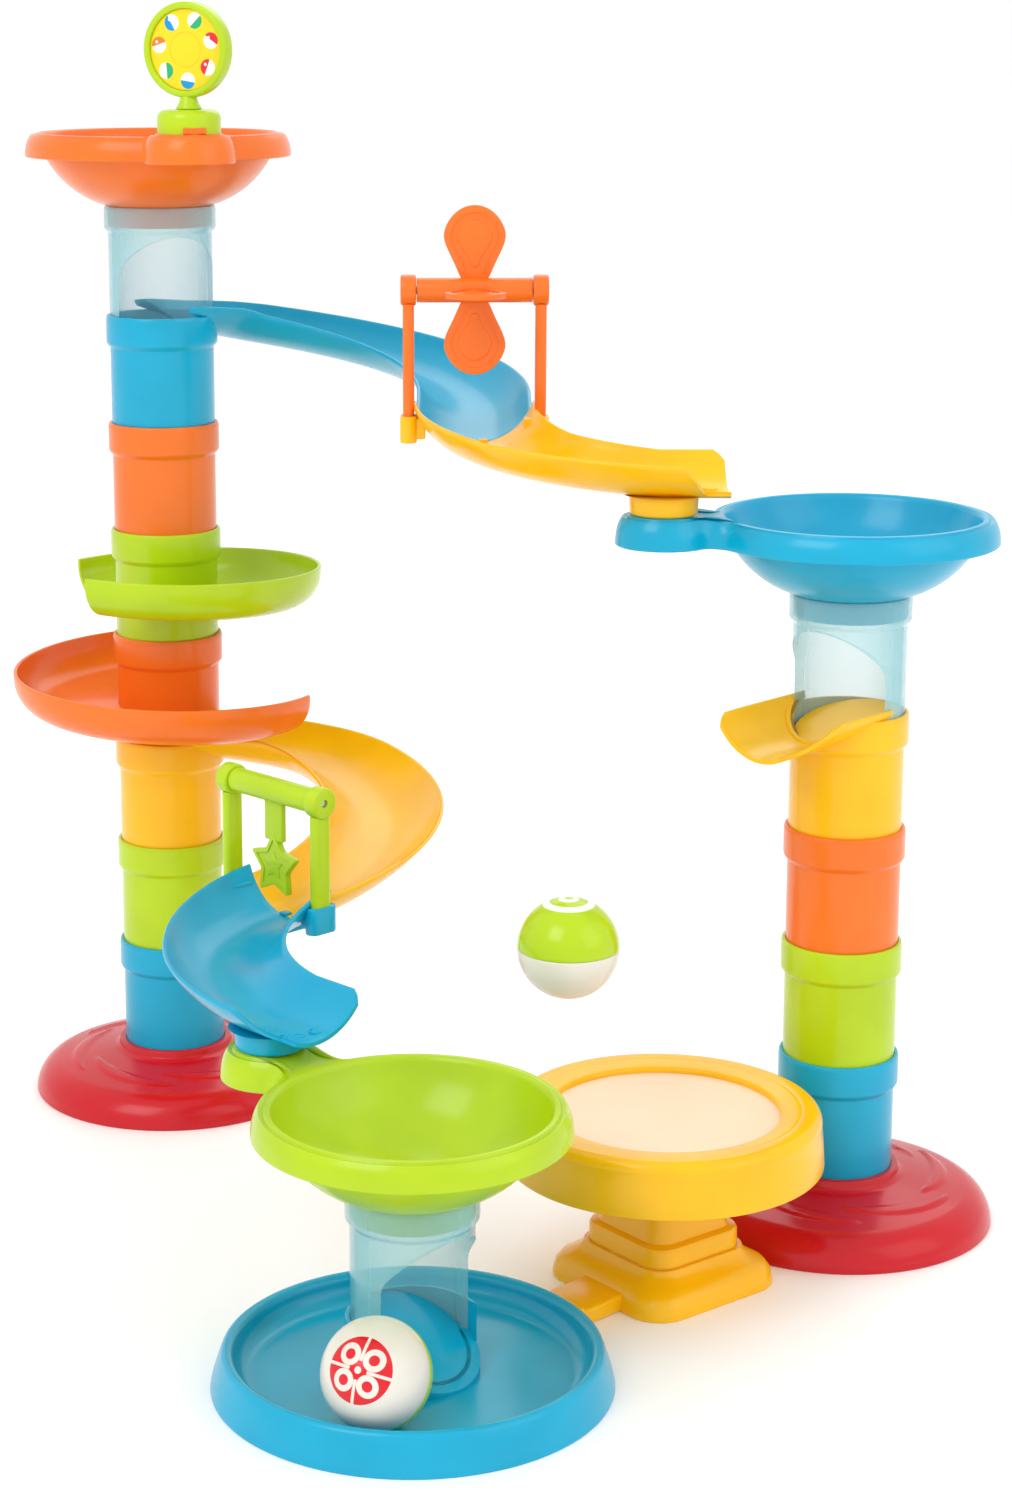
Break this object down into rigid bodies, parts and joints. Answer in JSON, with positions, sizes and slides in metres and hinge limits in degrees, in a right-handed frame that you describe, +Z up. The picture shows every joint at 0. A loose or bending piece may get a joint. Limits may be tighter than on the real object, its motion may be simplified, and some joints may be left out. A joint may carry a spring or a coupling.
{
  "type": "marble run",
  "caption": "Toy marble run: two towers of stacked tubes with curved and spiral chutes, bowls, gates, a catch tray, a bounce drum and hollow balls.",
  "frame": {"origin": "floor, under the middle of the whole layout's plan box", "axes": "+Z up; +Y away from the viewer who stands in front of the tray; +X to that viewer's right, towards the low tower"},
  "size_m": [0.5444, 0.5854, 0.6372],
  "materials": {
    "orange_plastic": "glossy moulded plastic",
    "blue_plastic": "glossy moulded plastic",
    "lime_plastic": "glossy moulded plastic",
    "yellow_plastic": "glossy moulded plastic",
    "red_plastic": "glossy moulded plastic",
    "clear_plastic": "clear moulded plastic with a teal tint",
    "white_plastic": "glossy moulded plastic",
    "printed_face": null,
    "drum_skin": "satin elastic sheet, pulled tight",
    "steel": "plain steel"
  },
  "bodies": {
    "root": {"blue_chute_module": "blue_plastic", "blue_extension_chute": "blue_plastic", "catch_tray": "blue_plastic", "drum_foot": "yellow_plastic", "drum_hoop": "yellow_plastic", "drum_membrane": "drum_skin", "drum_pan": "yellow_plastic", "drum_screws": "steel", "green_bowl": "lime_plastic", "green_spiral_module": "lime_plastic", "left_base": "red_plastic", "left_bowl": "orange_plastic", "left_tube_blue": "blue_plastic", "left_tube_green": "lime_plastic", "left_tube_orange": "orange_plastic", "left_window_tube": "clear_plastic", "orange_spiral_module": "orange_plastic", "paddle_axle": "steel", "paddle_post_left": "orange_plastic", "paddle_post_right": "orange_plastic", "right_base": "red_plastic", "right_bowl": "blue_plastic", "right_spout_module": "yellow_plastic", "right_tube_blue": "blue_plastic", "right_tube_green": "lime_plastic", "right_tube_orange": "orange_plastic", "right_window_tube": "clear_plastic", "spinner_base": "lime_plastic", "star_axle": "steel", "star_post_left": "lime_plastic", "star_post_right": "lime_plastic", "tray_window_tube": "clear_plastic", "yellow_curve_module": "yellow_plastic", "yellow_extension_chute": "yellow_plastic"},
    "spinner": {"spinner_ring": "lime_plastic", "spinner_face_front": "printed_face", "spinner_face_back": "printed_face"},
    "paddle": {"paddle_wheel": "orange_plastic"},
    "flap": {"star_flap": "lime_plastic"},
    "tray_ball": {"tray_ball_white": "white_plastic", "tray_ball_green": "lime_plastic"},
    "bounce_ball": {"bounce_ball_green": "lime_plastic", "bounce_ball_white": "white_plastic"}
  },
  "joints": [
    {"name": "spinner_turn", "type": "hinge", "parent": "root", "child": "spinner", "pos_m": [-0.15629, 0.10606, 0.5812], "axis": [0, 0, 1], "continuous": true},
    {"name": "paddle_turn", "type": "hinge", "parent": "root", "child": "paddle", "pos_m": [-0.00431, 0.0736, 0.488], "axis": [1, 0, 0], "continuous": true},
    {"name": "flap_swing", "type": "hinge", "parent": "root", "child": "flap", "pos_m": [-0.10865, 0.00266, 0.2345], "axis": [0.6947, -0.7193, 0], "range_deg": [-80, 80]},
    {"name": "tray_ball_lift", "type": "slide", "parent": "root", "child": "tray_ball", "axis": [-0.1913, -0.6807, 0.7071], "range_m": [0, 0.12]},
    {"name": "bounce_ball_flight", "type": "slide", "parent": "root", "child": "bounce_ball", "axis": [0.6135, 0.0645, -0.787], "range_m": [0, 0.08008]}
  ]
}
